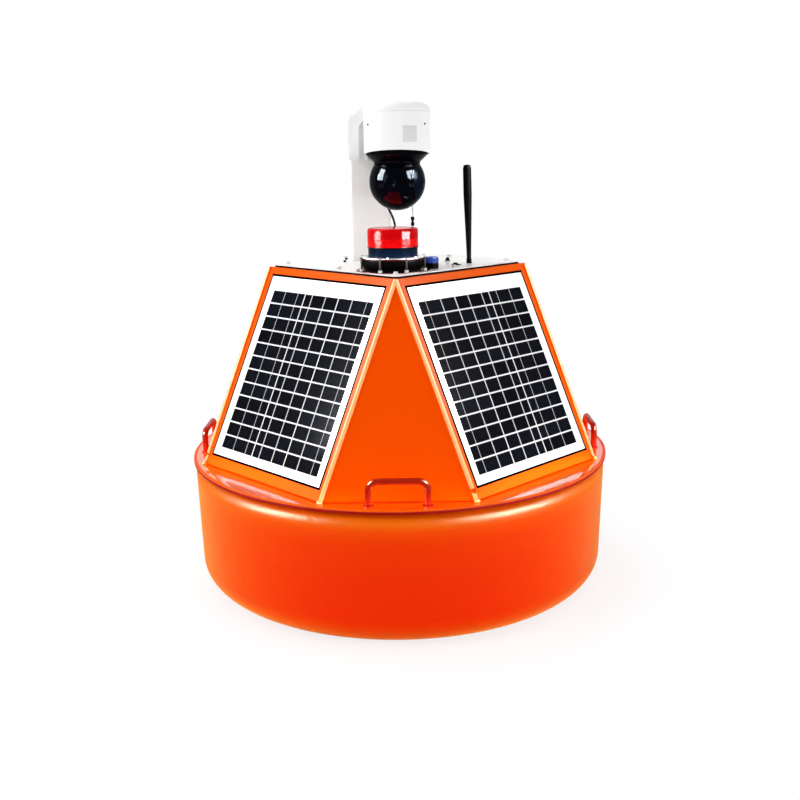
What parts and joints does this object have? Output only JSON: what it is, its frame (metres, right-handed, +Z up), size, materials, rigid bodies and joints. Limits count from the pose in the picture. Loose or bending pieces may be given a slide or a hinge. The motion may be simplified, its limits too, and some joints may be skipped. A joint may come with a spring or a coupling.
{
  "type": "water quality monitoring buoy",
  "caption": "Round foam float with a solar panelled cabin, a pan and tilt dome camera on a mast, a red lantern, an antenna and a water sensor in a central well.",
  "frame": {"origin": "centre of the float's flat underside", "axes": "+Z up, -Y towards the cabin corner next to the lantern, +X to the right when seen from there"},
  "size_m": [1.214, 1.214, 1.342],
  "materials": {
    "float_coat": "gloss",
    "deck_coat": "gloss",
    "cabin_paint": "gloss",
    "handle_paint": "gloss",
    "panel_white": "gloss",
    "solar_cell": "gloss",
    "black_seal": "satin",
    "plate_white": "satin",
    "mast_paint": "satin",
    "camera_white": "satin",
    "camera_black": "gloss",
    "camera_glass": "gloss",
    "lantern_red": "gloss",
    "lantern_grey": "satin",
    "bright_steel": "polished",
    "black_plastic": "satin",
    "cap_blue": "gloss",
    "black_rubber": "matt",
    "light_lead": "satin",
    "stainless": "brushed",
    "sonde_plastic": "satin",
    "battery_case": "satin"
  },
  "bodies": {
    "buoy": {"float_hull": "float_coat", "deck_plate": "deck_coat", "mooring_plate": "stainless", "mooring_eyes": "stainless", "well_tube": "stainless", "well_cap": "stainless", "sonde_body": "sonde_plastic", "sonde_guard": "sonde_plastic", "sonde_probes": "stainless", "cabin_shell": "cabin_paint", "top_gasket": "black_rubber", "top_plate": "plate_white", "battery_pack": "battery_case", "solar_panel_front_right": "panel_white", "solar_cells_front_right": "solar_cell", "solar_panel_back_right": "panel_white", "solar_cells_back_right": "solar_cell", "solar_panel_back_left": "panel_white", "solar_cells_back_left": "solar_cell", "solar_panel_front_left": "panel_white", "solar_cells_front_left": "solar_cell", "panel_seals": "black_seal", "lifting_handle_front": "handle_paint", "lifting_handle_right": "handle_paint", "lifting_handle_back": "handle_paint", "lifting_handle_left": "handle_paint", "mast": "mast_paint", "camera_bracket": "camera_white", "camera_housing": "camera_white", "lantern_base": "black_plastic", "lantern_flange": "bright_steel", "lantern_body": "lantern_grey", "lantern_lens": "lantern_red", "lantern_core": "black_plastic", "antenna_base": "black_plastic", "antenna": "black_rubber", "service_socket": "black_plastic", "socket_cap": "cap_blue", "bracket_gland": "black_plastic", "plate_glands": "black_plastic", "camera_cable": "black_rubber", "signal_lead": "light_lead", "lead_connector": "black_plastic"},
    "camera_pan": {"camera_yoke": "camera_black"},
    "camera_tilt": {"camera_ball": "camera_black", "camera_window": "camera_glass"}
  },
  "joints": [
    {"name": "camera_pan", "type": "hinge", "parent": "buoy", "child": "camera_pan", "pos_m": [0.006, -0.115, 1.14], "axis": [0, 0, 1], "continuous": true},
    {"name": "camera_tilt", "type": "hinge", "parent": "camera_pan", "child": "camera_tilt", "pos_m": [0.006, -0.115, 1.14], "axis": [0.9613, -0.2756, 0], "range_deg": [-10, 90]}
  ]
}
